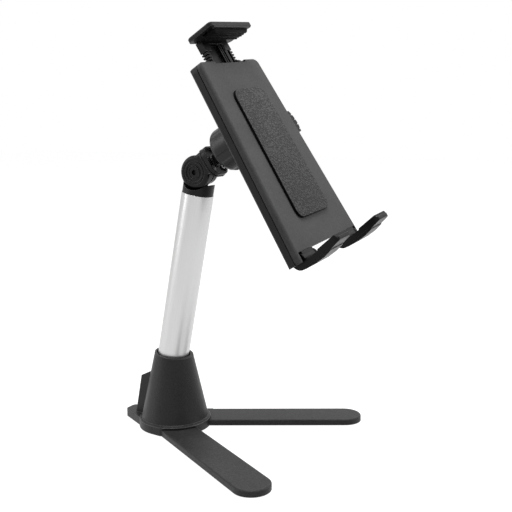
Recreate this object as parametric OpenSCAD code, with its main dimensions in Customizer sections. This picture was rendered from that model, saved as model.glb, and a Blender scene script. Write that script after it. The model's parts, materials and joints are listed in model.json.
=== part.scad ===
/* [Base] */
// radius of the socket cone where it meets the flange
cone_r = 27.5; // [24:0.5:32]
// height of the socket mouth centre above the desk
mouth_z = 61.3; // [55:0.5:70]
// outer radius of the socket mouth
mouth_r = 15.7; // [15.2:0.1:18]
// forward tilt of the mouth plane
mouth_tilt = 7.4; // [0:0.2:12]
// radius of the round flange below the cone
flange_r = 29.5; // [28:0.5:34]
// top of the flange above the desk
flange_z = 7; // [6.5:0.1:9]
// how far the rear tab reaches behind the cone centre
tab_y = 47.5; // [42:0.5:54]
// half width of the rear edge of the tab
tab_half = 7; // [5:0.5:12]
// clearance between the rubber soles and the moulding above the desk
sole_h = 0.6; // [0.4:0.1:1.2]
// half width of the clamp block behind the cone
block_half = 8; // [7:0.5:10]
// distance from the tube axis to the rear face of the clamp block
block_b = 23.1; // [21:0.1:26]

/* [Legs] */
// angle of each leg from straight ahead
leg_angle = 29.2; // [25:0.2:34]
// width of a leg
leg_w = 28; // [24:0.5:32]
// sideways shift of a leg centre line
leg_shift = 8; // [6:0.2:10]
// height of the top face of a leg above the desk
leg_h = 5.25; // [4.5:0.05:6]
// distance to the tip of a leg along its centre line
leg_tip = 155; // [130:1:180]

/* [Column] */
// outer diameter of the column tube
tube_d = 25.4; // [24:0.1:26]
// wall of the column tube
tube_wall = 1.5; // [1.2:0.1:2]
// forward lean of the column
lean = 11.5; // [6:0.5:16]
// length of tube seen above the mouth centre
tube_up = 135.2; // [100:0.2:180]
// length of tube hidden in the socket
tube_down = 50; // [44:0.5:52]
// height of the collar of the tube cap
collar_h = 9; // [7:0.5:12]

/* [Head] */
// distance from the tube end to the pivot of the head
pivot_up = 17.4; // [17:0.1:21]
// shift of the pivot from the tube axis
pivot_off = 0; // [-1:0.1:1]
// radius of the knuckle discs
knuckle_r = 13.2; // [12:0.1:14]
// half width of the knuckle
knuckle_half = 10; // [9.5:0.1:12]
// elevation of the ball stem
stem_elev = 35.3; // [30:0.1:45]
// distance from the pivot to the ball centre
stem_len = 29.74; // [29:0.05:34]
// radius of the ball
ball_r = 9; // [8:0.1:9.5]
// radius of the clamp nut over its lobes
nut_r = 17.5; // [16.5:0.1:19]

/* [Holder] */
// height of the holder body
body_h = 151.8; // [140:0.2:165]
// width of the holder body at its top
body_top_w = 80.4; // [76:0.2:90]
// width of the holder body at its bottom
body_bot_w = 99.8; // [90:0.2:104]
// thickness of the holder body
body_t = 12; // [11.5:0.1:14]
// backward tilt of the holder
holder_tilt = 30; // [20:0.5:40]
// turn of the holder about the vertical
holder_yaw = -2.5; // [-5:0.1:5]
// roll of the holder in its own plane
holder_roll = 5.3; // [-6:0.1:6]
// height of the ball axis above the middle of the holder
ball_y = 20.5; // [15:0.5:26]
// distance from the ball centre to the holder front face
ball_depth = 40; // [38:0.5:44]
// how far the jaw stands above the top of the body
jaw_gap = 18.8; // [12:0.1:30]
// width of the jaw
jaw_w = 57; // [50:0.5:62]
// reach of the jaw in front of the holder face
jaw_reach = 16; // [12:0.5:20]
// reach of the feet in front of the holder face
foot_reach = 31.5; // [26:0.5:40]
// width of one foot
foot_w = 20; // [16:0.5:22]
// distance from the middle of the holder to the middle of a foot
foot_x = 35; // [33:0.5:37]
// height of the raised face pad
pad_t = 2; // [1:0.1:2.6]

/* [Hidden] */
fine = 96;
small = 32;
tube_r = tube_d / 2;
bore_r = tube_r - tube_wall;
dir_y = -sin(lean);
dir_z = cos(lean);
pivot_s = tube_up + pivot_up;
pivot_y = pivot_s * dir_y + pivot_off * dir_z;
pivot_z = mouth_z + pivot_s * dir_z - pivot_off * dir_y;
ball_wy = pivot_y - stem_len * cos(stem_elev);
ball_wz = pivot_z + stem_len * sin(stem_elev);
half_h = body_h / 2;
half_top = body_top_w / 2;
half_bot = body_bot_w / 2;
arm_half = 17.5;
arm_back = -9.6;
arm_front = -4.2;
arm_low = -half_h + 45.9;
spring_y = -half_h + 10.9;
jaw_y = half_h + jaw_gap;
foot_pin_y = -half_h - 5.4;
foot_pin_n = -3.6;
cheek_drop = 7.4;
cheek_w = 2.8;
low_half = half_bot + cheek_drop * (half_bot - half_top) / body_h;
edge_r = 3;

// frame along the column, origin at the mouth centre
module on_tube() {
    translate([0, 0, mouth_z])
        rotate([lean, 0, 0])
            children();
}

// frame of the knuckle, z along the ball stem
module on_knuckle() {
    translate([0, pivot_y, pivot_z])
        rotate([90 - stem_elev, 0, 0])
            children();
}

// frame of the holder, origin in the middle of the front face, z out of it
module on_holder() {
    translate([0, ball_wy, ball_wz])
        rotate([0, 0, holder_yaw])
            rotate([90 - holder_tilt, 0, 0])
                rotate([0, 0, holder_roll])
                    translate([0, -ball_y, ball_depth])
                        children();
}

// frame of the ball joint, z along the axis of the clamp nut
module on_ball() {
    on_holder()
        translate([0, ball_y, -ball_depth])
            children();
}

// frame of one leg, x along the leg, y outwards
module on_leg(side) {
    mirror([side < 0 ? 1 : 0, 0, 0])
        rotate([0, 0, leg_angle - 90])
            translate([0, leg_shift, 0])
                children();
}

function unit(a, b) = (b - a) / norm(b - a);
function side_n(a, b) = [unit(a, b)[1], -unit(a, b)[0]];

// convex outline with round corners of radius r, corner centres anticlockwise
module rounded(pts, r) {
    m = len(pts);
    polygon([for (i = [0:m - 1]) for (k = [0, 1])
        pts[(i + k) % m] + r * side_n(pts[i], pts[(i + 1) % m])]);
    for (p = pts)
        translate(p)
            circle(r = r, $fn = small);
}

function before(p, i) = p[(i + len(p) - 1) % len(p)];
function after(p, i) = p[(i + 1) % len(p)];
function turn_at(p, i) = acos(unit(before(p, i), p[i]) * unit(p[i], after(p, i)));
function run_in(p, i, r) = p[i] - r * tan(turn_at(p, i) / 2) * unit(before(p, i), p[i]);
function run_out(p, i, r) = p[i] + r * tan(turn_at(p, i) / 2) * unit(p[i], after(p, i));
function soft_mid(p, i, r) = run_in(p, i, r) - r * side_n(before(p, i), p[i]);

// convex outline from its sharp corners, anticlockwise, each rounded by its own radius
module soft(p, rs) {
    polygon([for (i = [0:len(p) - 1]) for (q = [run_in(p, i, rs[i]), run_out(p, i, rs[i])]) q]);
    for (i = [0:len(p) - 1])
        translate(soft_mid(p, i, rs[i]))
            circle(r = rs[i], $fn = small);
}

// section that a rounded edge of radius r takes away, the sharp edge at the origin
module edge_cut(r) {
    q = 0.98 * r;
    difference() {
        translate([-q, -q])
            square(q + 1);
        translate([-q, -q])
            circle(r = r, $fn = fine);
    }
}

// rounds the top edge from a to b, the solid on the left of it
module edge_run(a, b, r) {
    translate(a)
        rotate([0, 0, atan2(b[1] - a[1], b[0] - a[0])])
            rotate([90, 0, 90])
                linear_extrude(height = norm(b - a))
                    mirror([1, 0])
                        edge_cut(r);
}

// rounds the top edge of a corner with radius rc round the centre c
module edge_turn(c, rc, r, from, turn) {
    translate(c)
        rotate([0, 0, from])
            rotate_extrude(angle = turn, $fn = fine)
                translate([rc, 0])
                    edge_cut(r);
}

// corners of the holder body, inset by d, with its cheeks below the bottom end
function body_corners(d) = [[-low_half + d, -half_h - cheek_drop + d], [low_half - d, -half_h - cheek_drop + d],
    [half_top - d, half_h - d], [-half_top + d, half_h - d]];

module body_outline(d, r) {
    soft(body_corners(d), [1.5, 1.5, r, r]);
}

// rounds the two long edges and the top end of the holder body
module body_edges(r) {
    p = body_corners(0);
    t = turn_at(p, 2);
    edge_run(p[1] - 4 * unit(p[1], p[2]), p[2], r);
    edge_run(p[2], p[3], r);
    edge_run(p[3], p[0] - 4 * unit(p[0], p[3]), r);
    for (side = [0, 1])
        for (k = [1:5])
            translate(soft_mid(p, 2 + side, 6))
                rotate([0, 0, 90 - t + side * t + t * k / 6])
                    translate([6, 4, 0])
                        rotate([90, 0, 0])
                            linear_extrude(height = 8)
                                edge_cut(r);
}

// room between the cheeks below the bottom end, inset by d
module cheek_gap(d) {
    translate([-half_bot + cheek_w - d, -half_h - 40])
        square([2 * (half_bot - cheek_w + d), 40]);
}

// slab between two heights
module slab(z0, z1) {
    translate([0, 0, z0])
        linear_extrude(height = z1 - z0)
            children();
}

module bar(x0, x1, y0, y1, z0, z1) {
    translate([x0, y0, z0])
        cube([x1 - x0, y1 - y0, z1 - z0]);
}

module rod(r, z0, z1) {
    translate([0, 0, z0])
        cylinder(r = r, h = z1 - z0, $fn = small);
}

module big_rod(r, z0, z1) {
    translate([0, 0, z0])
        cylinder(r = r, h = z1 - z0, $fn = fine);
}

// rod along x
module cross_rod(r, x0, x1) {
    translate([x0, 0, 0])
        rotate([0, 90, 0])
            cylinder(r = r, h = x1 - x0, $fn = fine);
}

// pan head screw along z, head at the top
module pan_screw(r, len, head_r, head_h) {
    difference() {
        union() {
            rod(r, -len, 0.01);
            rod(head_r, 0, head_h);
        }
        for (a = [0, 90])
            rotate([0, 0, a])
                translate([-head_r * 0.6, -0.35, head_h * 0.4])
                    cube([head_r * 1.2, 0.7, head_h]);
    }
}

// outline of the base plate and its rear tab
module base_outline() {
    circle(r = flange_r, $fn = fine);
    rounded([[-tab_half + 4, tab_y - 4], [-25.6, -0.5], [-26, -6],
        [26, -6], [25.6, -0.5], [tab_half - 4, tab_y - 4]], 4);
}

// outline of a leg with its rounded tip
module leg_outline(gap) {
    translate([12.5 - gap, -leg_w / 2 - gap])
        square([leg_tip - leg_w / 2 - 12.5 + gap, leg_w + 2 * gap]);
    translate([leg_tip - leg_w / 2, 0])
        circle(r = leg_w / 2 + gap, $fn = fine);
}

// narrow root of a leg that reaches under the housing
module leg_root(gap) {
    translate([3 - gap, -3 - gap])
        square([10, 15 + 2 * gap]);
}

// half section of the raised ring round the foot of the cone
module flange_section() {
    square([flange_r - 1.6, 1.2]);
    translate([flange_r - 1.6, 0])
        intersection() {
            circle(r = 1.2, $fn = small);
            square(2);
        }
    difference() {
        square([cone_r, 3.2]);
        translate([cone_r + 0.1, 3.2])
            circle(r = 2, $fn = small);
    }
}

module base_pad_outline(gap) {
    r = 2;
    side = cone_r - 5.7;
    rounded([[0, -9], [side, 4.2], [tab_half - 4, tab_y - 8.5], [-tab_half + 4, tab_y - 8.5],
        [-side, 4.2]], r + gap);
}

// places of the leg screws in the frame of a leg
screw_front = [21, -2];
screw_rear = [8, 4.5];

module at_leg_screw(side, p) {
    on_leg(side)
        translate([p[0], p[1], 0])
            children();
}

module base_housing() {
    color("#26282a")
    difference() {
        union() {
            slab(sole_h, flange_z)
                base_outline();
            translate([0, 0, flange_z - 0.01])
                rotate_extrude($fn = fine)
                    flange_section();
            difference() {
                translate([0, 0, flange_z + 1])
                    cylinder(r1 = cone_r, r2 = cone_r - (cone_r - mouth_r) * 1.18,
                        h = (mouth_z - flange_z - 1) * 1.18, $fn = fine);
                translate([0, 0, mouth_z])
                    rotate([mouth_tilt, 0, 0])
                        translate([-40, -40, 0])
                            cube([80, 80, 40]);
            }
            intersection() {
                on_tube()
                    difference() {
                        bar(-block_half, block_half, 8, block_b, -70, -21);
                        translate([0, block_b - 7, -21])
                            rotate([-38, 0, 0])
                                bar(-20, 20, -2, 20, 0, 12);
                    }
                bar(-20, 20, -10, 60, 3, 60);
            }
        }
        on_tube() {
            big_rod(tube_r + 0.05, -tube_down, 30);
            big_rod(mouth_r - 1.9, -9, 30);
            rod(3.2, -70, 0);
            rod(5.3, -75, -tube_down - 4);
            for (s = [-34, -46])
                translate([0, 0, s])
                    rotate([-90, 0, 0])
                        rod(2.55, 0, 40);
        }
        difference() {
            translate([0, 0, flange_z + 3])
                cylinder(r1 = cone_r - 3, r2 = 14.5, h = mouth_z - flange_z - 17, $fn = fine);
            on_tube()
                big_rod(tube_r + 2.6, -80, 30);
            bar(-3, 3, -40, 40, 0, 80);
            bar(-40, 40, 2, 40, 0, 80);
            for (side = [-1, 1])
                for (p = [screw_front, screw_rear])
                    at_leg_screw(side, p)
                        rod(4.2, 0, 22);
        }
        for (side = [-1, 1]) {
            on_leg(side) {
                slab(0, leg_h + 0.1)
                    leg_outline(0.15);
                slab(0, leg_h + 0.1)
                    leg_root(0.15);
            }
            for (p = [screw_front, screw_rear])
                at_leg_screw(side, p)
                    rod(1.55, 0, 17);
        }
        slab(0, 1.6)
            base_pad_outline(0.1);
        for (x = [-9.5, 9.5])
            translate([x, -15.5, 0])
                rod(2.6, 1, flange_z + 6);
    }
}

module base_pad() {
    color("#2f3031")
        slab(0, 1.5)
            base_pad_outline(0);
}

// rounds the top edge of a leg
module leg_edges(r) {
    tip = leg_tip - leg_w / 2;
    edge_run([30, -leg_w / 2], [tip, -leg_w / 2], r);
    edge_turn([tip, 0], leg_w / 2, r, -90, 180);
    edge_run([tip, leg_w / 2], [30, leg_w / 2], r);
}

module leg(side) {
    color("#2b2d2f")
    on_leg(side)
        difference() {
            union() {
                slab(sole_h, leg_h)
                    leg_outline(0);
                slab(2.2, leg_h)
                    leg_root(0);
            }
            slab(0, 1.5)
                rounded([[40, -7], [leg_tip - 20, -7], [leg_tip - 20, 7], [40, 7]], 3.1);
            translate([0, 0, leg_h])
                leg_edges(1.2);
            for (p = [screw_front, screw_rear])
                translate([p[0], p[1], 0]) {
                    rod(1.8, 0, 8);
                    rod(3.4, 0, 3.1);
                }
        }
}

module leg_left() {
    leg(-1);
}

module leg_right() {
    leg(1);
}

module leg_pad(side) {
    color("#343536")
    on_leg(side)
        slab(0, 1.45)
            rounded([[40, -7], [leg_tip - 20, -7], [leg_tip - 20, 7], [40, 7]], 3);
}

module leg_pad_left() {
    leg_pad(-1);
}

module leg_pad_right() {
    leg_pad(1);
}

module leg_screw(side, p) {
    color("#8d9094")
    at_leg_screw(side, p)
        translate([0, 0, 3.1])
            mirror([0, 0, 1])
                pan_screw(1.5, 13, 3.1, 1.2);
}

module leg_screw_left_front() {
    leg_screw(-1, screw_front);
}

module leg_screw_left_rear() {
    leg_screw(-1, screw_rear);
}

module leg_screw_right_front() {
    leg_screw(1, screw_front);
}

module leg_screw_right_rear() {
    leg_screw(1, screw_rear);
}

module clamp_screw(s) {
    color("#55585b")
    on_tube()
        translate([0, 0, s])
            rotate([-90, 0, 0])
                difference() {
                    rod(2.5, tube_r + 0.02, block_b - 0.8);
                    translate([0, 0, block_b - 3.5])
                        cylinder(r = 1.45, h = 5, $fn = 6);
                }
}

module clamp_screw_upper() {
    clamp_screw(-34);
}

module clamp_screw_lower() {
    clamp_screw(-46);
}

module column_bolt() {
    color("#8d9094")
    on_tube()
        difference() {
            union() {
                rod(3, -tube_down - 4.1, -tube_down + 14);
                rod(5, -tube_down - 8, -tube_down - 4.1);
            }
            translate([0, 0, -tube_down - 9])
                cylinder(r = 2.6, h = 3.4, $fn = 6);
        }
}

module tube_plug() {
    color("#3a3c3e")
    on_tube()
        difference() {
            big_rod(bore_r - 0.03, -tube_down, -tube_down + 18);
            rod(3.05, -tube_down - 1, -tube_down + 20);
        }
}

module column_tube() {
    color("#c9cbcd")
    on_tube()
        difference() {
            big_rod(tube_r, -tube_down, tube_up);
            big_rod(bore_r, -tube_down - 1, tube_up + 1);
        }
}

// half thickness of the tongue of the tube cap
tongue_t = 2.8;

module tube_cap() {
    color("#1f2122")
    difference() {
        union() {
            difference() {
                on_tube() {
                    big_rod(bore_r - 0.03, tube_up - 18, tube_up + 0.1);
                    big_rod(tube_r - 0.35, tube_up + 0.05, tube_up + collar_h);
                }
                on_knuckle()
                    cross_rod(knuckle_r + 0.4, -20, 20);
            }
            on_tube()
                translate([0, pivot_off, tube_up + pivot_up])
                    rotate([0, -90, 0])
                        slab(-tongue_t, tongue_t) {
                            circle(r = 10, $fn = fine);
                            translate([2 - pivot_up, -6.5])
                                square([pivot_up - 2, 13]);
                        }
        }
        on_knuckle()
            cross_rod(3.05, -20, 20);
        on_tube()
            big_rod(8.5, tube_up - 30, tube_up - 3);
    }
}

module friction_washer(side) {
    color("#d8d5cc")
    on_knuckle()
        mirror([side < 0 ? 1 : 0, 0, 0])
            difference() {
                cross_rod(8.5, tongue_t + 0.05, tongue_t + 0.75);
                cross_rod(3.1, 0, 10);
            }
}

module friction_washer_left() {
    friction_washer(-1);
}

module friction_washer_right() {
    friction_washer(1);
}

// places of the two screws of the ball stud
stud_screw_x = 6.4;
stud_screw_y = -6.2;

// height of the knuckle's seat for the ball stud
knuckle_z = 13.3;

// radius of the far cheek and half of the slot between the cheeks
far_r = 10.2;
fork_in = tongue_t + 0.85;

// frame of a cheek of the knuckle, z out of its face
module on_cheek() {
    translate([knuckle_half, 0, 0])
        rotate([0, 90, 0])
            children();
}

// ring groove of a given width and depth in the plane z = 0
module ring_cut(r, w, depth) {
    difference() {
        big_rod(r, -depth, 1);
        big_rod(r - w, -depth - 1, 2);
    }
}

module knuckle() {
    color("#222425")
    on_knuckle()
        difference() {
            union() {
                cross_rod(knuckle_r, -knuckle_half, 0);
                cross_rod(far_r, 0, knuckle_half);
                bar(-knuckle_half, 0, -8.2, 10.4, 0, knuckle_z);
                bar(0, knuckle_half, -8.2, 9, 0, knuckle_z);
                slab(knuckle_z - 1.2, knuckle_z)
                    dish_outline(-0.3);
            }
            mirror([1, 0, 0])
                on_cheek() {
                    edge_turn([0, 0], knuckle_r, edge_r, -141, 269);
                    edge_run([-8.1, 10.4], [-knuckle_z - 0.1, 10.4], edge_r);
                    ring_cut(knuckle_r - 3.7, 0.8, 0.5);
                    ring_cut(knuckle_r - 5.9, 2.2, 0.7);
                }
            on_cheek() {
                edge_turn([0, 0], far_r, 2, -126, 244);
                edge_run([-4.8, 9], [-knuckle_z + 1, 9], 2);
            }
            bar(-fork_in, fork_in, -30, 30, -30, 6.9);
            bar(-fork_in, fork_in, -30, -8, -30, knuckle_z - 0.9);
            cross_rod(10.6, -fork_in, fork_in);
            cross_rod(3.05, -30, 30);
            cross_rod(4.75, -30, -knuckle_half + 3.2);
            translate([knuckle_half - 4, 0, 0])
                rotate([0, 90, 0])
                    cylinder(r = 5.05, h = 10, $fn = 6);
            for (x = [-stud_screw_x, stud_screw_x])
                translate([x, stud_screw_y, 0])
                    rod(1.3, 5, 20);
        }
}

module pivot_bolt() {
    color("#2c2d2f")
    on_knuckle()
        difference() {
            union() {
                cross_rod(3, -knuckle_half + 1, knuckle_half - 0.2);
                cross_rod(4.6, -knuckle_half + 0.4, -knuckle_half + 3.1);
            }
            translate([-knuckle_half - 1, 0, 0])
                rotate([0, 90, 0])
                    cylinder(r = 2.3, h = 3.4, $fn = 6);
        }
}

module pivot_nut() {
    color("#7d8083")
    on_knuckle()
        difference() {
            translate([knuckle_half - 3.95, 0, 0])
                rotate([0, 90, 0])
                    cylinder(r = 4.95, h = 3.6, $fn = 6);
            cross_rod(3.05, 0, 30);
        }
}

// underside of the dish of the ball stud
dish_z = knuckle_z + 0.3;

// outline of the dish, inset by d
module dish_outline(d) {
    rounded([[-3.2, -5.2], [3.2, -5.2], [3.2, 4.6], [-3.2, 4.6]], 7.4 - d);
}

module ball_stud() {
    color("#1c1e1f")
    on_knuckle()
        difference() {
            union() {
                difference() {
                    slab(dish_z, dish_z + 8)
                        dish_outline(0);
                    slab(dish_z + 1.2, dish_z + 9)
                        dish_outline(1.5);
                    translate([0, 0, dish_z + 3.3])
                        rotate([3, 0, 0])
                            bar(-20, 20, -30, 30, 0, 10);
                }
                big_rod(5.4, dish_z, dish_z + 3);
                rod(4.2, dish_z + 2, stem_len - 2);
                translate([0, 0, stem_len])
                    sphere(r = ball_r, $fn = fine);
            }
            for (x = [-stud_screw_x, stud_screw_x])
                translate([x, stud_screw_y, 0])
                    rod(1.6, 10, 20);
        }
}

module stud_screw(side) {
    color("#9a9da0")
    on_knuckle()
        translate([side * stud_screw_x, stud_screw_y, dish_z + 1.22])
            pan_screw(1.25, 8.5, 2, 1.2);
}

module stud_screw_left() {
    stud_screw(-1);
}

module stud_screw_right() {
    stud_screw(1);
}

// part of a hollow ball in front of the plane z = -cut
module ball_shell(r0, r1, cut) {
    difference() {
        sphere(r = r1, $fn = fine);
        sphere(r = r0, $fn = fine);
        translate([-20, -20, -20 - cut])
            cube([40, 40, 20]);
    }
}

module inner_liner() {
    color("#5a5c5e")
    on_ball()
        ball_shell(ball_r + 0.04, ball_r + 0.54, 2.6);
}

module outer_liner() {
    color("#6a6c6e")
    on_ball()
        ball_shell(ball_r + 0.58, ball_r + 1.08, 2.9);
}

// half section of the clamp nut, its rear edge rounded
module nut_section() {
    translate([0, -3.6])
        square([nut_r - 4.6, 17.6]);
    translate([0, 1])
        square([nut_r, 12]);
    square([nut_r - 1, 14]);
    translate([nut_r - 4.6, 1])
        circle(r = 4.6, $fn = fine);
}

module clamp_nut() {
    color("#2a2c2e")
    on_ball()
        difference() {
            rotate_extrude($fn = fine)
                nut_section();
            for (a = [0:60:300])
                rotate([0, 0, a + 20])
                    translate([nut_r + 5.2, 0, 0])
                        big_rod(6.8, -10, 30);
            big_rod(13.55, 0.6, 30);
            sphere(r = ball_r + 1.15, $fn = fine);
            translate([0, 0, -4.5])
                cylinder(r1 = 11.2, r2 = 9.7, h = 1.5, $fn = fine);
        }
}

module socket_cup() {
    color("#1e2021")
    on_ball()
        difference() {
            union() {
                big_rod(13.5, 1, ball_depth - body_t - 0.05);
                big_rod(20, ball_depth - body_t - 3.4, ball_depth - body_t);
                big_rod(16, 16, ball_depth - body_t - 0.05);
            }
            sphere(r = ball_r + 1.12, $fn = fine);
            for (a = [45:90:315])
                rotate([0, 0, a])
                    translate([16.9, 0, 0])
                        rod(1.6, 20, 40);
            for (a = [45:90:315])
                rotate([0, 0, a])
                    translate([16.9, 0, 0])
                        rod(2.9, 10, ball_depth - body_t - 2);
        }
}

module socket_screw(k) {
    color("#8d9094")
    on_ball()
        rotate([0, 0, 45 + 90 * k])
            translate([16.9, 0, ball_depth - body_t - 2])
                mirror([0, 0, 1])
                    pan_screw(1.5, 3.6, 2.7, 1.5);
}

module socket_screw_1() {
    socket_screw(0);
}

module socket_screw_2() {
    socket_screw(1);
}

module socket_screw_3() {
    socket_screw(2);
}

module socket_screw_4() {
    socket_screw(3);
}

// corner places of the shell screws
function shell_screw_at(k) = [[-40, -62], [40, -62], [33, 66], [-33, 66]][k];

seam = -4.6;

// hinge of a foot: half width of the body's tongue and middle of each lug
tongue_half = 8;
lug_mid = 9.4;

// pivot of the pawl
pawl_at = [arm_half + 11, 6];

// opening for the thumb tab in the right side wall
module tab_opening() {
    bar(36, 60, 8.6, 28.9, -7.6, -1.7);
}

// opening for the sliding arm in the top end
module arm_opening() {
    bar(-arm_half - 1, arm_half + 1, 50, half_h + 14, arm_back - 0.5, arm_front + 0.5);
    bar(arm_half - 2, arm_half + 6, half_h - 10, half_h + 14, arm_front - 4, -1);
}

module back_shell() {
    color("#2b2d2f")
    on_holder()
        difference() {
            union() {
                difference() {
                    union() {
                        slab(-body_t, seam - 0.7)
                            body_outline(0, 6);
                        slab(seam - 0.8, seam)
                            body_outline(0.7, 6);
                    }
                    slab(-20, 5)
                        cheek_gap(0);
                    translate([0, 0, -body_t])
                        mirror([0, 0, 1])
                            body_edges(edge_r);
                }
                for (side = [-1, 1])
                    translate([side * foot_x, foot_pin_y, foot_pin_n]) {
                        cross_rod(4.6, -tongue_half, tongue_half);
                        bar(-tongue_half, tongue_half, 0, 12, -4.6, -1.05);
                        bar(-tongue_half, tongue_half, -0.5, 5.2, 0, 3.9);
                    }
                for (side = [-1, 1])
                    bar(side * foot_x - 10.6, side * foot_x + 10.6, -half_h + 3, -half_h + 8, -9, -1.95);
            }
            difference() {
                slab(-body_t + 1.9, 5)
                    body_outline(2.2, 4);
                for (k = [0:3])
                    translate(shell_screw_at(k))
                        rod(4, -20, -1.9);
                for (side = [-1, 1]) {
                    bar(side * (arm_half + 1.9) - 1.5, side * (arm_half + 1.9) + 1.5, spring_y - 1, 80, -20, -3);
                    bar(side * foot_x - 10.6, side * foot_x + 10.6, -half_h - 12, -half_h + 8, -20, -1.9);
                }
                slab(-20, 5)
                    cheek_gap(-2.4);
                bar(-half_bot - 9, half_bot + 9, -half_h - 20, -half_h + 2.2, -20, 5);
                for (x = [-9.3, 9.3])
                    bar(x - 4, x + 4, spring_y - 3, spring_y, -20, -2.4);
                translate([pawl_at[0], pawl_at[1], 0])
                    rod(4, -20, -7.3);
                bar(pawl_at[0] - 4.6, pawl_at[0] - 2.1, 20, 28, -20, -3);
            }
            arm_opening();
            tab_opening();
            bar(arm_half, arm_half + 4, -8, 4, -7.5, 0);
            for (side = [-1, 1])
                for (x = [side * foot_x - lug_mid, side * foot_x + lug_mid])
                    bar(x - 1.15, x + 1.15, -half_h - 16, -half_h + 2.5, -20, 5);
            for (side = [-1, 1])
                translate([side * foot_x, foot_pin_y, foot_pin_n])
                    cross_rod(1.55, -30, 30);
            for (k = [0:3])
                translate(shell_screw_at(k)) {
                    rod(1.7, -20, 0);
                    rod(2.9, -20, -body_t + 2.2);
                }
            translate([0, ball_y, 0])
                for (a = [45:90:315])
                    rotate([0, 0, a])
                        translate([16.9, 0, 0])
                            rod(1.55, -20, -body_t + 1.75);
            translate([pawl_at[0], pawl_at[1], 0])
                rod(1.55, -11, 0);
        }
}

module front_shell() {
    color("#3d3f41")
    on_holder()
        difference() {
            union() {
                difference() {
                    slab(seam + 0.05, 0)
                        body_outline(0, 6);
                    slab(-20, 5)
                        cheek_gap(0);
                    body_edges(edge_r);
                }
            }
            difference() {
                slab(-20, -1.8)
                    body_outline(2.3, 4);
                slab(-20, 5)
                    cheek_gap(-2.4);
                bar(-half_bot - 9, half_bot + 9, -half_h - 20, -half_h + 2.2, -20, 5);
                for (k = [0:3])
                    translate(shell_screw_at(k))
                        rod(3.4, -20, 0);
            }
            for (k = [0:3])
                translate(shell_screw_at(k))
                    rod(1.65, -20, -1.7);
            bar(-21, 12, half_h - 2.9, half_h + 14, -20, 5);
            translate([18.5, half_h + 1.4, 0])
                big_rod(4.6, -20, 5);
            arm_opening();
            tab_opening();
            for (side = [-1, 1])
                bar(side * foot_x - 10.6, side * foot_x + 10.6, -half_h - 16, -half_h + 3, -20, -1.8);
        }
}

module shell_screw(k) {
    color("#8d9094")
    on_holder()
        translate([shell_screw_at(k)[0], shell_screw_at(k)[1], -body_t + 2.2])
            mirror([0, 0, 1])
                pan_screw(1.6, body_t - 4.2, 2.8, 1.5);
}

module shell_screw_1() {
    shell_screw(0);
}

module shell_screw_2() {
    shell_screw(1);
}

module shell_screw_3() {
    shell_screw(2);
}

module shell_screw_4() {
    shell_screw(3);
}

module face_pad() {
    color("#454748")
    on_holder()
        slab(0.01, pad_t)
            rounded([[-16.6, -47], [16.6, -47], [13.8, 42], [-13.8, 42]], 8);
}

// distance of the jaw screws from the middle
jaw_screw_x = arm_half - 4;
jaw_screw_n = -6;

module slide_arm() {
    color("#1f2122")
    on_holder()
        difference() {
            union() {
                bar(-arm_half, arm_half, arm_low, jaw_y, arm_back, arm_back + 1.8);
                for (side = [-1, 1]) {
                    bar(side * (arm_half - 1.9) - 1.9, side * (arm_half - 1.9) + 1.9, arm_low, jaw_y, arm_back, arm_front);
                    bar(side * (arm_half - 4) - 4, side * (arm_half - 4) + 4, jaw_y - 8.6, jaw_y, arm_back, arm_front);
                }
                for (x = [3.4, 6])
                    bar(x, x + 1.2, arm_low, jaw_y, arm_back, arm_front - 1);
                bar(8.4, 11.6, arm_low, jaw_y, arm_back, arm_front - 0.4);
                bar(-arm_half, arm_half, jaw_y - 3, jaw_y, arm_back, arm_front);
                bar(-arm_half, arm_half, arm_low, arm_low + 3, arm_back, arm_front);
            }
            for (side = [-1, 1])
                for (i = [0:32])
                    bar(side * arm_half - 2.4, side * arm_half + 2.4, jaw_y - 9.8 - 2.4 * i, jaw_y - 8.6 - 2.4 * i, -20, 0);
            for (side = [-1, 1])
                translate([side * jaw_screw_x, jaw_y, jaw_screw_n])
                    rotate([90, 0, 0])
                        rod(1.25, -1, 9);
        }
}

// thickness of the jaw plate
jaw_t = 3.4;

// sharp corners of the jaw plate seen from above, its rear edge near the arm's back
function jaw_corners() = [[-jaw_w / 2, -jaw_reach], [jaw_w / 2, -jaw_reach],
    [jaw_w / 2, -arm_back - 1], [-jaw_w / 2, -arm_back - 1]];

// rounds the top edges of the jaw plate
module jaw_edges(r) {
    p = jaw_corners();
    for (i = [0:3]) {
        rc = i < 2 ? 3 : 4;
        rn = i == 0 || i == 3 ? 3 : 4;
        edge_run(run_out(p, i, rc), run_in(p, (i + 1) % 4, rn), r);
        edge_turn(soft_mid(p, i, rc), rc, r, 90 * i + 180, 90);
    }
}

// side view of the block under the jaw, stepped at both ends, grown by d
module jaw_pad_outline(d) {
    polygon([[-23.4 - d, 0.88], [-23.4 - d, -1.4], [-19, -1.4], [-13, -4.6], [13, -4.6], [19, -1.4],
        [23.4 + d, -1.4], [23.4 + d, 0.88]]);
}

module jaw() {
    color("#242628")
    on_holder()
        translate([0, jaw_y, 0])
            difference() {
                union() {
                    rotate([-90, 0, 0])
                        difference() {
                            slab(0.02, jaw_t)
                                soft(jaw_corners(), [3, 3, 4, 4]);
                            translate([0, 0, jaw_t])
                                jaw_edges(1.2);
                        }
                    bar(-jaw_w / 2 + 3.4, jaw_w / 2 - 3.4, -1.4, 1, jaw_reach - 2.4, jaw_reach - 0.2);
                }
                for (side = [-1, 1])
                    translate([side * jaw_screw_x, 0, jaw_screw_n])
                        rotate([90, 0, 0]) {
                            rod(1.5, -9, 2);
                            rod(2.45, -9, -2);
                        }
                slab(1.9, 12.1)
                    jaw_pad_outline(0.1);
            }
}

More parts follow.
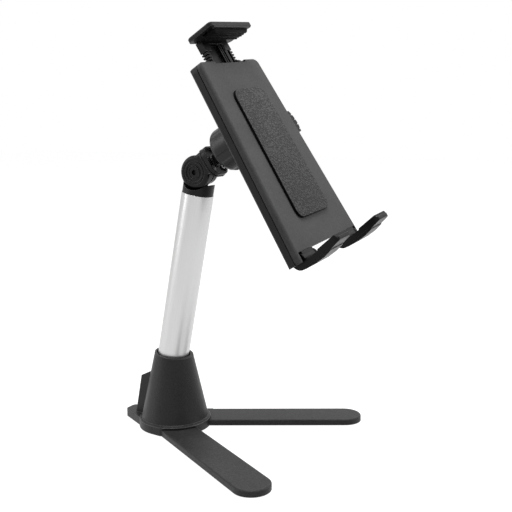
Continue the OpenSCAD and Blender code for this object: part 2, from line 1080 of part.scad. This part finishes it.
module jaw_pad() {
    color("#303132")
    on_holder()
        translate([0, jaw_y, 0])
            difference() {
                slab(2, 12)
                    jaw_pad_outline(0);
                for (i = [0:3])
                    bar(-30, 30, -5, -4, 3.4 + 2.2 * i, 4.4 + 2.2 * i);
            }
}

module jaw_screw(side) {
    color("#8d9094")
    on_holder()
        translate([side * jaw_screw_x, jaw_y + 2, jaw_screw_n])
            rotate([-90, 0, 0])
                pan_screw(1.2, 9, 2.3, 1.3);
}

module jaw_screw_left() {
    jaw_screw(-1);
}

module jaw_screw_right() {
    jaw_screw(1);
}

// close wound spring drawn as a sleeve with grooves
module spring_sleeve(r, l, pitch) {
    difference() {
        rod(r, 0, l);
        rod(r - 0.9, -1, l + 1);
        for (i = [0:floor(l / pitch) - 1])
            translate([0, 0, i * pitch + pitch / 2])
                difference() {
                    rod(r + 1, 0, pitch * 0.3);
                    rod(r - 0.45, -1, pitch);
                }
    }
}

module arm_spring(side) {
    color("#b8babc")
    on_holder()
        translate([side * 9.3, arm_low - 0.05, -6.4])
            rotate([90, 0, 0])
                spring_sleeve(2, arm_low - spring_y - 0.1, 2.4);
}

module arm_spring_left() {
    arm_spring(-1);
}

module arm_spring_right() {
    arm_spring(1);
}

module release_button() {
    color("#1a1c1d")
    on_holder()
        difference() {
            union() {
                slab(-6.8, -2.4)
                    intersection() {
                        translate([33.6, 16.5])
                            circle(r = 18.8, $fn = fine);
                        translate([37.4, 9.8])
                            square([20, 18.3]);
                    }
                bar(pawl_at[0] + 1.6, 38, 17.1, 28, -6.8, -4.6);
                bar(37.4, 40.4, 9.8, 28.1, -8.8, -2.4);
            }
            for (i = [0:3])
                bar(47.2, 60, 11.6 + 4.2 * i, 12.6 + 4.2 * i, -3, 0);
        }
}

module pawl() {
    color("#b9bbbd")
    on_holder()
        translate([pawl_at[0], pawl_at[1], 0])
            difference() {
                union() {
                    rod(3.4, -7.1, -4.8);
                    slab(-7.1, -4.8)
                        polygon([[-2, 4.5], [-9, -5.4], [-10.8, -8], [-9.6, -8.9], [-2, -3],
                            [3, 0], [0.4, 6], [1.25, 12.3], [0.2, 12.3]]);
                }
                rod(1.6, -20, 0);
            }
}

module pawl_pin() {
    color("#8d9094")
    on_holder()
        translate([pawl_at[0], pawl_at[1], 0]) {
            rod(1.5, -10.8, -3.6);
            rod(2.6, -4.7, -3.6);
        }
}

module button_spring() {
    color("#b8babc")
    on_holder()
        translate([pawl_at[0] - 2.05, 24.4, -5.7])
            rotate([0, 90, 0])
                spring_sleeve(1.1, 3.6, 0.9);
}

// reach of a foot from its pin
foot_tip = foot_reach - foot_pin_n;

// length of the pad on a foot
foot_pad_len = foot_tip - 19;

// side view of a foot about its pin, x forward: sole, heel, step and lip
module foot_section() {
    polygon(concat([for (a = [180:15:270]) 6.9 * [cos(a), sin(a)]],
        [[2.2, -7], [11, -6.9], [foot_tip - 16.5, -5.9], [foot_tip - 9.4, -3.9], [foot_tip - 9.4, -3.3],
        [foot_tip - 2, -1.3], [foot_tip - 0.4, -0.6], [foot_tip, 0.6], [foot_tip - 0.5, 1.9],
        [foot_tip - 1.4, 2.2], [foot_tip - 2.2, 4.1], [16.9, 1.2], [16.4, 0.3], [8.2, -1.1], [5, 0],
        [0, 4.9], [-5, 0]]));
}

// rounds a corner of the lip of a foot, seen from above
module tip_round() {
    translate([-foot_w / 2, -20, foot_tip])
        rotate([-90, 0, 0])
            slab(0, 40)
                difference() {
                    translate([-1, -1])
                        square(5);
                    translate([4, 4])
                        circle(r = 4, $fn = small);
                }
}

// seat of the pad on a foot, y out of it and z towards the lip
module on_foot_top() {
    translate([0, -0.6, 16.9])
        rotate([-10, 0, 0])
            children();
}

module foot(side) {
    color("#1d1f20")
    on_holder()
        translate([side * foot_x, foot_pin_y, foot_pin_n])
            difference() {
                union() {
                    cross_rod(5, -foot_w / 2, foot_w / 2);
                    rotate([0, -90, 0])
                        slab(-foot_w / 2, foot_w / 2)
                            foot_section();
                }
                cross_rod(1.55, -30, 30);
                cross_rod(5, -tongue_half - 0.3, tongue_half + 0.3);
                bar(-tongue_half - 0.3, tongue_half + 0.3, -1, 20, -20, 5);
                bar(-tongue_half - 0.3, tongue_half + 0.3, -20, 20, -20, -1);
                for (m = [0, 1])
                    mirror([m, 0, 0]) {
                        translate([-foot_w / 2 - 1, -7, -1])
                            rotate([-10, 0, 0])
                                bar(0, 1.6, -0.35, 0.35, 0, 24);
                        tip_round();
                    }
                on_foot_top()
                    bar(-foot_w / 2 + 1.2, foot_w / 2 - 1.2, 0, 9, 0, foot_pad_len);
            }
}

module foot_left() {
    foot(-1);
}

module foot_right() {
    foot(1);
}

module foot_pad(side) {
    color("#3a3b3c")
    on_holder()
        translate([side * foot_x, foot_pin_y, foot_pin_n])
            on_foot_top()
                difference() {
                    bar(-foot_w / 2 + 1.3, foot_w / 2 - 1.3, 0.02, 2, 0.1, foot_pad_len - 0.1);
                    for (i = [0:5])
                        bar(-30, 30, 1.3, 9, 1.2 + 2.7 * i, 2.4 + 2.7 * i);
                }
}

module foot_pad_left() {
    foot_pad(-1);
}

module foot_pad_right() {
    foot_pad(1);
}

module foot_pin(side) {
    color("#9a9da0")
    on_holder()
        translate([side * foot_x, foot_pin_y, foot_pin_n])
            cross_rod(1.5, -foot_w / 2 - 0.3, foot_w / 2 + 0.3);
}

module foot_pin_left() {
    foot_pin(-1);
}

module foot_pin_right() {
    foot_pin(1);
}

base_housing();
base_pad();
leg_left();
leg_right();
leg_pad_left();
leg_pad_right();
leg_screw_left_front();
leg_screw_left_rear();
leg_screw_right_front();
leg_screw_right_rear();
clamp_screw_upper();
clamp_screw_lower();
column_bolt();
tube_plug();
column_tube();
tube_cap();
friction_washer_left();
friction_washer_right();
knuckle();
pivot_bolt();
pivot_nut();
ball_stud();
stud_screw_left();
stud_screw_right();
inner_liner();
outer_liner();
clamp_nut();
socket_cup();
socket_screw_1();
socket_screw_2();
socket_screw_3();
socket_screw_4();
back_shell();
front_shell();
shell_screw_1();
shell_screw_2();
shell_screw_3();
shell_screw_4();
face_pad();
slide_arm();
jaw();
jaw_pad();
jaw_screw_left();
jaw_screw_right();
arm_spring_left();
arm_spring_right();
release_button();
pawl();
pawl_pin();
button_spring();
foot_left();
foot_right();
foot_pad_left();
foot_pad_right();
foot_pin_left();
foot_pin_right();
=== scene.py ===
import bpy
import bmesh
import json
import math
from mathutils import Matrix, Vector


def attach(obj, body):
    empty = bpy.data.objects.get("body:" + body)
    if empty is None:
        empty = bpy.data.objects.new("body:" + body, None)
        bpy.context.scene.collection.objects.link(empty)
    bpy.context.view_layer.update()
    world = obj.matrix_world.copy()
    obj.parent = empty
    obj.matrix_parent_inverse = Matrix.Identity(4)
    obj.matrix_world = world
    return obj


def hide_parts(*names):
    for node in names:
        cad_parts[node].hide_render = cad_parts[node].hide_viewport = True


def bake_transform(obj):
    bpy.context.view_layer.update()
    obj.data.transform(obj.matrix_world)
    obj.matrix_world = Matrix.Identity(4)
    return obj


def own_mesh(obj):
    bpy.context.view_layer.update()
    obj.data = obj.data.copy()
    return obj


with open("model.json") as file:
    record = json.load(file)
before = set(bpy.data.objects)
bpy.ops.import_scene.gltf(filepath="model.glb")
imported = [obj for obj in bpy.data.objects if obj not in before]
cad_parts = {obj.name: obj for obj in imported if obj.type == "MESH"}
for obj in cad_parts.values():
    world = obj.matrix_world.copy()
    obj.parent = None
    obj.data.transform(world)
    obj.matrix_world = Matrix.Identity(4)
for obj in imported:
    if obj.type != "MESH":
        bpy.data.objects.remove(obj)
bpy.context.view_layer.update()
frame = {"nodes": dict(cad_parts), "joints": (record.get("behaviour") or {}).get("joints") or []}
nodes = frame["nodes"]


# Desk, daylight tent and camera
# The stand is photographed on a white desk inside a soft tent, from its left
# and a little above, with a lens of normal length.
def new_material(name):
    material = bpy.data.materials.new(name)
    material.use_nodes = True
    tree = material.node_tree
    tree.nodes.clear()
    return material, tree


def add_node(tree, kind, **sockets):
    node = tree.nodes.new(kind)
    for key, value in sockets.items():
        node.inputs[key.replace("_", " ")].default_value = value
    return node


def calculate(tree, operation, *terms):
    node = tree.nodes.new("ShaderNodeMath")
    node.operation = operation
    for socket, term in zip(node.inputs, terms):
        if isinstance(term, float):
            socket.default_value = term
        else:
            tree.links.new(term, socket)
    return node.outputs[0]


def background_rays(tree):
    rays = tree.nodes.new("ShaderNodeLightPath").outputs
    seen = calculate(tree, "MAXIMUM", rays["Is Camera Ray"], rays["Is Glossy Ray"])
    return calculate(tree, "MAXIMUM", seen, rays["Is Transmission Ray"])


def set_surface(tree, shader, kind="ShaderNodeOutputMaterial"):
    output = tree.nodes.new(kind)
    tree.links.new(shader.outputs[0], output.inputs["Surface"])


desk_reach = 4
desk_grey = 0.36
desk_glow = 0.92
desk_mesh = bmesh.new()
bmesh.ops.create_grid(desk_mesh, x_segments=1, y_segments=1, size=desk_reach)
desk_data = bpy.data.meshes.new("desk_top")
desk_mesh.to_mesh(desk_data)
desk_mesh.free()
desk_top = bpy.data.objects.new("desk_top", desk_data)
bpy.context.scene.collection.objects.link(desk_top)
desk_paint, tree = new_material("desk_paint")
matt = add_node(tree, "ShaderNodeBsdfDiffuse", Color=(desk_grey, desk_grey, desk_grey, 1))
glow = add_node(tree, "ShaderNodeEmission", Color=(1, 1, 1, 1))
glow_strength = calculate(tree, "MULTIPLY", background_rays(tree), desk_glow)
tree.links.new(glow_strength, glow.inputs["Strength"])
paint = tree.nodes.new("ShaderNodeAddShader")
tree.links.new(matt.outputs[0], paint.inputs[0])
tree.links.new(glow.outputs[0], paint.inputs[1])
set_surface(tree, paint)
desk_data.materials.append(desk_paint)

tent = bpy.data.worlds.new("tent")
bpy.context.scene.world = tent
tent.use_nodes = True
tree = tent.node_tree
tree.nodes.clear()
inside = add_node(tree, "ShaderNodeBackground", Color=(1, 1, 1, 1), Strength=0.2)
behind = add_node(tree, "ShaderNodeBackground", Color=(1, 1, 1, 1), Strength=1.0)
tent_wall = tree.nodes.new("ShaderNodeMixShader")
tree.links.new(background_rays(tree), tent_wall.inputs[0])
tree.links.new(inside.outputs[0], tent_wall.inputs[1])
tree.links.new(behind.outputs[0], tent_wall.inputs[2])
set_surface(tree, tent_wall, "ShaderNodeOutputWorld")


def soft_box(name, place, aim, width, height, watts, shine=1.0):
    lamp = bpy.data.lights.new(name, "AREA")
    lamp.shape = "RECTANGLE"
    lamp.size = width
    lamp.size_y = height
    lamp.energy = watts
    lamp.specular_factor = shine
    lamp_object = bpy.data.objects.new(name, lamp)
    bpy.context.scene.collection.objects.link(lamp_object)
    lamp_object.location = place
    lamp_object.rotation_mode = "QUATERNION"
    lamp_object.rotation_quaternion = (Vector(aim) - Vector(place)).to_track_quat("-Z", "Y")


soft_box("front_box", place=(0.65, -1.05, 1.0), aim=(0, -0.05, 0.15), width=0.5, height=0.5, watts=7)
soft_box("top_box", place=(0.0, -0.1, 1.5), aim=(0, -0.03, 0.1), width=0.7, height=0.7, watts=18)
soft_box("left_box", place=(-0.85, 1.1, 0.55), aim=(0, -0.03, 0.15), width=0.35, height=0.8, watts=5,
    shine=0.15)

picture_pixels = 512
focal_pixels = 843.0
centre_column = 260.75
centre_row = 231.34
film_width = 36
camera_place = (-0.54538, -0.40271, 0.25598)
camera_turn = math.radians(-59.70)
camera_pitch = math.radians(8.0)
camera_roll = math.radians(-0.49)
look = Vector((
    -math.sin(camera_turn) * math.cos(camera_pitch),
    math.cos(camera_turn) * math.cos(camera_pitch),
    -math.sin(camera_pitch)))
level = Vector((math.cos(camera_turn), math.sin(camera_turn), 0))
upright = level.cross(look)
right_side = level * math.cos(camera_roll) + upright * math.sin(camera_roll)
top_side = upright * math.cos(camera_roll) - level * math.sin(camera_roll)
camera_data = bpy.data.cameras.new("studio_camera")
camera_data.sensor_width = film_width
camera_data.lens = focal_pixels / picture_pixels * film_width
camera_data.shift_x = (picture_pixels / 2 - centre_column) / picture_pixels
camera_data.shift_y = (centre_row - picture_pixels / 2) / picture_pixels
camera_data.clip_start = 0.02
camera_data.clip_end = 30
camera = bpy.data.objects.new("studio_camera", camera_data)
camera_axes = Matrix((right_side, top_side, -look)).transposed()
camera.matrix_world = Matrix.Translation(camera_place) @ camera_axes.to_4x4()
bpy.context.scene.collection.objects.link(camera)
bpy.context.scene.camera = camera
bpy.context.scene.view_settings.view_transform = "Standard"


# Base housing
# One black moulding with a fine spark-eroded skin: the rear tab, the flange,
# the socket cone and the clamp block behind it.
def tone(grey):
    value = grey / 255
    linear = value / 12.92 if value <= 0.04045 else ((value + 0.055) / 1.055) ** 2.4
    return (linear, linear, linear, 1)


def two_tones(tree, amount, dark, light, start=0.0, end=1.0):
    ramp = tree.nodes.new("ShaderNodeValToRGB")
    first, last = ramp.color_ramp.elements
    first.position = start
    first.color = tone(dark)
    last.position = end
    last.color = tone(light)
    tree.links.new(amount, ramp.inputs["Fac"])
    return ramp.outputs["Color"]


def map_range(tree, amount, **limits):
    node = add_node(tree, "ShaderNodeMapRange", **limits)
    tree.links.new(amount, node.inputs["Value"])
    return node.outputs["Result"]


def noise(tree, vector, **settings):
    node = add_node(tree, "ShaderNodeTexNoise", **settings)
    tree.links.new(vector, node.inputs["Vector"])
    return node.outputs["Fac"]


def rounded_normal(tree, radius):
    rounded = add_node(tree, "ShaderNodeBevel", Radius=radius)
    rounded.samples = 6
    return rounded.outputs[0]


# Mask of the rounded edges, where the bevelled normal leans off the flat one. It paints a highlight along
# the edges and makes them a little glossier.
def edge_highlight_and_polish_mask(tree, rounded):
    surface = tree.nodes.new("ShaderNodeNewGeometry")
    dot = tree.nodes.new("ShaderNodeVectorMath")
    dot.operation = "DOT_PRODUCT"
    tree.links.new(rounded, dot.inputs[0])
    tree.links.new(surface.outputs["Normal"], dot.inputs[1])
    return map_range(tree, dot.outputs["Value"], From_Min=0.72, From_Max=0.999, To_Min=1.0, To_Max=0.0)


def moulding(name, grey, rough, grain, depth, edge, painted_highlight_lift, pebble=0.0, gloss=0.22, fleck=0.18):
    material, tree = new_material(name)
    place = tree.nodes.new("ShaderNodeTexCoord").outputs["Object"]
    shader = add_node(tree, "ShaderNodeBsdfPrincipled", IOR=1.47, Specular_IOR_Level=gloss)
    rounded = rounded_normal(tree, edge)
    highlight_and_polish = edge_highlight_and_polish_mask(tree, rounded)
    cloud = noise(tree, place, Scale=38.0, Detail=3.0, Roughness=0.6)
    height = noise(tree, place, Scale=grain, Detail=2.0, Roughness=0.55)
    if pebble:
        cells = add_node(tree, "ShaderNodeTexVoronoi", Scale=pebble, Randomness=1.0)
        cells.feature = "SMOOTH_F1"
        cells.inputs["Smoothness"].default_value = 0.4
        tree.links.new(place, cells.inputs["Vector"])
        distance = cells.outputs["Distance"]
        height = calculate(tree, "MULTIPLY_ADD", distance, -1.6, height)
        # The colour is darker in the crevices between pebbles and lighter on their tops, as painted shade
        # and highlight.
        speckle_and_crevice_shade = map_range(tree, distance, From_Min=0.15, From_Max=0.6, To_Min=0.8, To_Max=0.2)
    else:
        speckle_and_crevice_shade = noise(tree, place, Scale=850.0, Detail=2.0, Roughness=0.7)
    mottle = add_node(tree, "ShaderNodeMix", Factor=0.55)
    tree.links.new(cloud, mottle.inputs["A"])
    tree.links.new(speckle_and_crevice_shade, mottle.inputs["B"])
    dark = grey * (1 - fleck)
    light = grey * (1 + fleck)
    body = two_tones(tree, mottle.outputs["Result"], dark, light, start=0.35, end=0.65)
    # The rounded edges are painted lighter here, as a painted highlight along each edge.
    colour = tree.nodes.new("ShaderNodeMix")
    colour.data_type = "RGBA"
    colour.inputs["B"].default_value = tone(grey + painted_highlight_lift)
    tree.links.new(highlight_and_polish, colour.inputs["Factor"])
    tree.links.new(body, colour.inputs["A"])
    tree.links.new(colour.outputs["Result"], shader.inputs["Base Color"])
    satin = map_range(tree, cloud, From_Min=0.3, From_Max=0.7, To_Min=rough - 0.05, To_Max=rough + 0.05)
    polished = calculate(tree, "MULTIPLY_ADD", highlight_and_polish, -0.1, satin)
    tree.links.new(polished, shader.inputs["Roughness"])
    bump = add_node(tree, "ShaderNodeBump", Strength=0.6, Distance=depth)
    tree.links.new(height, bump.inputs["Height"])
    tree.links.new(rounded, bump.inputs["Normal"])
    tree.links.new(bump.outputs["Normal"], shader.inputs["Normal"])
    set_surface(tree, shader)
    return material


def finish_nodes(material, *names):
    for name in names:
        for slot in nodes[name].material_slots:
            slot.material = material


housing_skin = moulding("housing_skin", 20, 0.46, grain=950.0, depth=0.0003, edge=0.0009, painted_highlight_lift=80,
    gloss=0.3, fleck=0.7)
finish_nodes(housing_skin, "base_housing")


# Soles
# Black rubber sheet, cut to shape and glued into the recesses under the housing
# and the legs, so that the stand doesn't slip on the desk.
sole_rubber = moulding("sole_rubber", 22, 0.8, grain=900.0, depth=0.00008, edge=0.0004, painted_highlight_lift=8)
finish_nodes(sole_rubber, "base_pad", "leg_pad_left", "leg_pad_right")


# Legs
# Flat steel bars with a rounded tip and a softly broken edge, powder coated and
# screwed to the housing from below.
leg_coat = moulding("leg_coat", 48, 0.5, grain=1000.0, depth=0.00022, edge=0.0006, painted_highlight_lift=50, fleck=0.32)
finish_nodes(leg_coat, "leg_left", "leg_right")


# Column tube
# Drawn aluminium tube, satin anodised, with faint lines along its length. It
# stands in the cone, clamped and bolted.
cone_mouth = Vector((0, 0, 0.0613))
tube_lean = math.radians(11.5)
line_stretch = 90
satin_alloy, tree = new_material("satin_alloy")
along = add_node(tree, "ShaderNodeMapping")
along.vector_type = "TEXTURE"
along.inputs["Location"].default_value = cone_mouth
along.inputs["Rotation"].default_value = (tube_lean, 0, 0)
along.inputs["Scale"].default_value = (1, 1, line_stretch)
tree.links.new(tree.nodes.new("ShaderNodeTexCoord").outputs["Object"], along.inputs["Vector"])
lines = noise(tree, along.outputs[0], Scale=2600.0, Detail=2.0, Roughness=0.6)
alloy = add_node(tree, "ShaderNodeBsdfPrincipled", Metallic=1.0)
sheen = map_range(tree, lines, From_Min=0.3, From_Max=0.7, To_Min=0.3, To_Max=0.42)
tree.links.new(sheen, alloy.inputs["Roughness"])
film = two_tones(tree, lines, 186, 196, start=0.25, end=0.75)
tree.links.new(film, alloy.inputs["Base Color"])
scratches = add_node(tree, "ShaderNodeBump", Strength=0.25, Distance=0.00001)
tree.links.new(lines, scratches.inputs["Height"])
tree.links.new(rounded_normal(tree, 0.0004), scratches.inputs["Normal"])
tree.links.new(scratches.outputs["Normal"], alloy.inputs["Normal"])
set_surface(tree, alloy)
finish_nodes(satin_alloy, "column_tube")


# Tube cap, plug, washers and liners
# The cap and the plug are black glass-filled nylon with a satin skin, pressed into
# the tube's ends. The washers and the ball's liners are plain acetal.
nylon = moulding("nylon", 10, 0.42, grain=2600.0, depth=0.00004, edge=0.0008, painted_highlight_lift=100)
acetal = moulding("acetal", 200, 0.35, grain=2600.0, depth=0.00001, edge=0.0002, painted_highlight_lift=8)
finish_nodes(nylon, "tube_cap", "tube_plug")
finish_nodes(acetal, "friction_washer_left", "friction_washer_right", "inner_liner", "outer_liner")


# Pivoting head
# The fork, the dished stud with its ball, and the cup behind the nut are moulded
# in black nylon, and the nut that clamps the ball has a softer grip skin.
fork_nylon = moulding("fork_nylon", 5, 0.34, grain=2400.0, depth=0.00004, edge=0.0006, painted_highlight_lift=80, gloss=0.2)
nut_skin = moulding("nut_skin", 14, 0.36, grain=2000.0, depth=0.00006, edge=0.0009, painted_highlight_lift=80, gloss=0.35)
finish_nodes(fork_nylon, "knuckle")
finish_nodes(nylon, "ball_stud", "socket_cup")
finish_nodes(nut_skin, "clamp_nut")


# Screws, bolts and pins
# Zinc plated steel, turned and rolled, with a stamped pawl plated alike. The set
# screws, the hinge pins and the pivot's bolt and nut are blackened.
def plated(name, grey, rough):
    material, tree = new_material(name)
    place = tree.nodes.new("ShaderNodeTexCoord").outputs["Object"]
    shader = add_node(tree, "ShaderNodeBsdfPrincipled", Metallic=1.0)
    mottle = noise(tree, place, Scale=700.0, Detail=3.0)
    plating = two_tones(tree, mottle, grey * 0.88, grey * 1.08)
    tree.links.new(plating, shader.inputs["Base Color"])
    satin = map_range(tree, mottle, To_Min=rough - 0.08, To_Max=rough + 0.1)
    tree.links.new(satin, shader.inputs["Roughness"])
    tree.links.new(rounded_normal(tree, 0.00025), shader.inputs["Normal"])
    set_surface(tree, shader)
    return material


zinc = plated("zinc", 150, 0.36)
black_oxide = plated("black_oxide", 38, 0.3)
blackened = [name for name in nodes if "clamp_screw" in name or "foot_pin" in name]
blackened += ["pivot_bolt", "pivot_nut"]
bright = [name for name in nodes if "screw" in name and name not in blackened]
bright += ["column_bolt", "pawl", "pawl_pin"]
finish_nodes(black_oxide, *blackened)
finish_nodes(zinc, *bright)


# Holder body
# Two dark mouldings that meet at the seam, screwed together from behind. Sizes
# on the holder are taken from the middle of its face, along its own sides.
shell_skin = moulding("shell_skin", 79, 0.55, grain=2600.0, depth=0.00005, edge=0.0004, painted_highlight_lift=20,
    gloss=0.1, fleck=0.1)
back_skin = moulding("back_skin", 30, 0.46, grain=2600.0, depth=0.00005, edge=0.0003, painted_highlight_lift=24, gloss=0.2)
finish_nodes(shell_skin, "front_shell")
finish_nodes(back_skin, "back_shell")

ball_to_face = 0.040
ball_above_middle = 0.0205
joints = {joint["name"]: joint for joint in frame["joints"]}
holder_up = Vector(joints["jaw_slide"]["axis"]).normalized()
holder_out = Vector(joints["ball_spin"]["axis"]).normalized()
ball_centre = Vector(joints["ball_spin"]["pos_m"])
face_centre = ball_centre + ball_to_face * holder_out - ball_above_middle * holder_up
holder_axes = Matrix((holder_up.cross(holder_out), holder_up, holder_out)).transposed()
holder_place = Matrix.Translation(face_centre) @ holder_axes.to_4x4()


# Face pad
# Pebbled rubber sheet, die cut with round corners and glued on the face. Its cut
# sides are painted much darker than its top, as painted shade.
def finished(name, mesh, material, node):
    bmesh.ops.recalc_face_normals(mesh, faces=mesh.faces)
    data = bpy.data.meshes.new(name)
    mesh.to_mesh(data)
    mesh.free()
    data.transform(holder_place)
    for face in data.polygons:
        face.use_smooth = True
    data.materials.append(material)
    piece = bpy.data.objects.new(name, data)
    bpy.context.scene.collection.objects.link(piece)
    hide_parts(node)
    return piece


def crisp_pad(piece, body):
    piece.data.set_sharp_from_angle(angle=math.radians(35))
    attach(piece, body)


def rounded_off(mesh, geom, offset, segments, affect="EDGES"):
    bmesh.ops.bevel(mesh, geom=geom, offset=offset, offset_type="OFFSET", segments=segments,
        profile=0.5, affect=affect, material=-1)


pad_bottom = 0.0246
pad_top = 0.0218
pad_low = -0.055
pad_high = 0.050
pad_rise = 0.0020
pad_corner = 0.0075
pad_edge = 0.0005
glue_line = 0.00002
pebbled_rubber = moulding("pebbled_rubber", 70, 0.7, grain=1800.0, depth=0.0007, edge=0.0003, painted_highlight_lift=8,
    pebble=640.0, fleck=0.24)
# Near-black copy of the pad's rubber for its side walls: painted shade.
pad_side_painted_shade = moulding("pad_side_painted_shade", 8, 0.8, grain=900.0, depth=0.00005, edge=0.0002, painted_highlight_lift=4, gloss=0.1)
mesh = bmesh.new()
outline = ((-pad_bottom, pad_low), (pad_bottom, pad_low), (pad_top, pad_high), (-pad_top, pad_high))
mesh.faces.new([mesh.verts.new((x, y, glue_line)) for x, y in outline])
rounded_off(mesh, list(mesh.verts), offset=pad_corner, segments=9, affect="VERTICES")
sheet = bmesh.ops.extrude_face_region(mesh, geom=list(mesh.faces))
bmesh.ops.recalc_face_normals(mesh, faces=mesh.faces)
# Side faces take the darker rubber, as painted shade on the pad's cut sides.
for face in mesh.faces:
    face.material_index = int(abs(face.normal.z) < 0.5)
raised = [part for part in sheet["geom"] if isinstance(part, bmesh.types.BMVert)]
bmesh.ops.translate(mesh, verts=raised, vec=(0, 0, pad_rise))
top_edges = [edge for edge in mesh.edges if all(corner in raised for corner in edge.verts)]
rounded_off(mesh, top_edges, offset=pad_edge, segments=3)
face_sheet = finished("face_sheet", mesh, pebbled_rubber, "face_pad")
face_sheet.data.materials.append(pad_side_painted_shade)
crisp_pad(face_sheet, "holder")


# Slide arm and jaw
# A channelled nylon rail with a serrated edge, and a hooked jaw screwed on its
# end that holds the tablet's upper edge.
arm_nylon = moulding("arm_nylon", 9, 0.4, grain=2600.0, depth=0.00003, edge=0.0005, painted_highlight_lift=110)
jaw_skin = moulding("jaw_skin", 24, 0.46, grain=2400.0, depth=0.00005, edge=0.0009, painted_highlight_lift=80)
finish_nodes(arm_nylon, "slide_arm")
finish_nodes(jaw_skin, "jaw")


# Jaw block
# Soft black block moulded on the underside of the jaw, wider in front, with
# grooves across that grip the edge of a tablet.
def loft(sections):
    mesh = bmesh.new()
    rings = []
    for section in sections:
        corners = [mesh.verts.new(point) for point in section]
        rings.append([mesh.edges.new(ends) for ends in zip(corners, corners[1:] + corners[:1])])
    for low, high in zip(rings, rings[1:]):
        bmesh.ops.bridge_loops(mesh, edges=low + high)
    for ring in (rings[0], rings[-1]):
        bmesh.ops.edgeloop_fill(mesh, edges=ring)
    return mesh


jaw_seat = 0.0947
block_narrow = 0.0215
block_wide = 0.0232
block_depth = 0.0038
block_nose = 0.0028
groove_floor = 0.0031
chamfer = 0.0016
chamfer_start = 0.0018
front_taper = 0.0004
rear_taper = 0.0005
overlap = 0.0001


def groove(start, half_width):
    depths = ((0, block_depth), (0.0002, groove_floor), (0.0010, groove_floor), (0.0012, block_depth))
    return [(start + step, half_width, depth) for step, depth in depths]


stations = [(0.0018, block_narrow - rear_taper, block_nose), (0.0026, block_narrow, block_depth)]
stations += groove(0.0036, block_narrow)
stations += [(0.0064, block_narrow, block_depth), (0.0066, block_wide, block_depth)]
stations += groove(0.0072, block_wide) + groove(0.0096, block_wide)
stations += [(0.0126, block_wide, block_depth), (0.0134, block_wide - front_taper, block_nose)]
sections = []
for out, half_width, depth in stations:
    half = ((half_width, -overlap), (half_width, -chamfer_start), (half_width - chamfer, -depth))
    outline = [(-x, y) for x, y in half] + [(x, y) for x, y in reversed(half)]
    sections.append([(x, jaw_seat + y, out) for x, y in outline])
block_rubber = moulding("block_rubber", 8, 0.65, grain=1500.0, depth=0.00006, edge=0.0003, painted_highlight_lift=16,
    gloss=0.1)
mesh = loft(sections)
jaw_block = finished("jaw_block", mesh, block_rubber, "jaw_pad")
crisp_pad(jaw_block, "arm")


# Release button
# Satin black thumb tab with four grip grooves, moulded in nylon. It slides in
# the side of the holder and lifts the pawl.
finish_nodes(nylon, "release_button")


# Springs
# Close coils of drawn wire with ground ends. Two pull the arm down and stretch
# with it; a small one behind the button is pressed together.

# A closed end turn rises by this many wire radii.
closed_turn_rise = 2.1


def coil(start, end, radius, wire, turns, steps=14, sides=6):
    mesh = bmesh.new()
    axis = (end - start).normalized()
    across = axis.orthogonal().normalized()
    section = Matrix((axis, across, axis.cross(across))).transposed().to_4x4()
    first = start + wire * axis + radius * across
    bmesh.ops.create_circle(mesh, cap_ends=True, segments=sides, radius=wire,
        matrix=Matrix.Translation(first) @ section)
    end_rise = closed_turn_rise * wire
    middle_rise = (end - start).length - 2 * wire - 2 * end_rise
    tip = {"geom_last": list(mesh.verts) + list(mesh.edges) + list(mesh.faces)}
    for count, rise in ((1, end_rise), (turns - 2, middle_rise), (1, end_rise)):
        tip = bmesh.ops.spin(mesh, geom=tip["geom_last"], cent=start, axis=axis, angle=count * math.tau,
            dvec=axis * rise / (count * steps), steps=count * steps)
    return mesh


spring_wire = plated("spring_wire", 190, 0.25)
spring_side = 0.0093
spring_foot = -0.06495
spring_head = -0.03005
spring_depth = -0.0064
for side, name in ((-1, "arm_spring_left"), (1, "arm_spring_right")):
    start = Vector((side * spring_side, spring_foot, spring_depth))
    end = Vector((side * spring_side, spring_head, spring_depth))
    mesh = coil(start, end, radius=0.0017, wire=0.00028, turns=16)
    coils = finished(name + "_coil", mesh, spring_wire, name)
    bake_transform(coils)

press_seat = Vector((0.02645, 0.0244, -0.0057))
press_length = Vector((0.0036, 0, 0))
mesh = coil(press_seat, press_seat + press_length, radius=0.00095, wire=0.00014, turns=6)
coils = finished("button_spring_coil", mesh, spring_wire, "button_spring")
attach(coils, "holder")
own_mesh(coils)


# Feet
# Satin black mouldings that fold on steel pins, with a ridged rubber strip on
# top that carries the tablet's lower edge.
foot_skin = moulding("foot_skin", 6, 0.36, grain=2600.0, depth=0.00003, edge=0.0004, painted_highlight_lift=70, gloss=0.16)
foot_rubber = moulding("foot_rubber", 44, 0.6, grain=1500.0, depth=0.00008, edge=0.0003, painted_highlight_lift=20)
finish_nodes(foot_skin, "foot_left", "foot_right")

foot_pin = Vector((0.035, -0.0813, -0.0036))
strip_from_pin = Vector((0, -0.0006, 0.0169))
strip_turn = Matrix.Rotation(math.radians(-10), 4, "X")
strip_half = 0.0087
strip_round = 0.0004
strip_floor = 0.00005
rib_count = 6
rib_pitch = 0.0027
rib_start = 0.0001
rib_profile = ((0, 0.0013), (0.00035, 0.0020), (0.00125, 0.0020), (0.0016, 0.0013))
for side, name in ((-1, "left"), (1, "right")):
    sections = []
    for rib in range(rib_count):
        for step, height in rib_profile:
            level = rib_start + rib_pitch * rib + step
            shoulder = height - strip_round
            half = ((strip_half, strip_floor), (strip_half, shoulder), (strip_half - strip_round, height))
            outline = [(-x, y) for x, y in half] + [(x, y) for x, y in reversed(half)]
            sections.append([(x, y, level) for x, y in outline])
    mesh = loft(sections)
    pin = Vector((side * foot_pin.x, foot_pin.y, foot_pin.z))
    strip_seat = Matrix.Translation(pin + strip_from_pin) @ strip_turn
    bmesh.ops.transform(mesh, matrix=strip_seat, verts=mesh.verts)
    strip = finished("foot_strip_" + name, mesh, foot_rubber, "foot_pad_" + name)
    crisp_pad(strip, "foot_" + name[0])
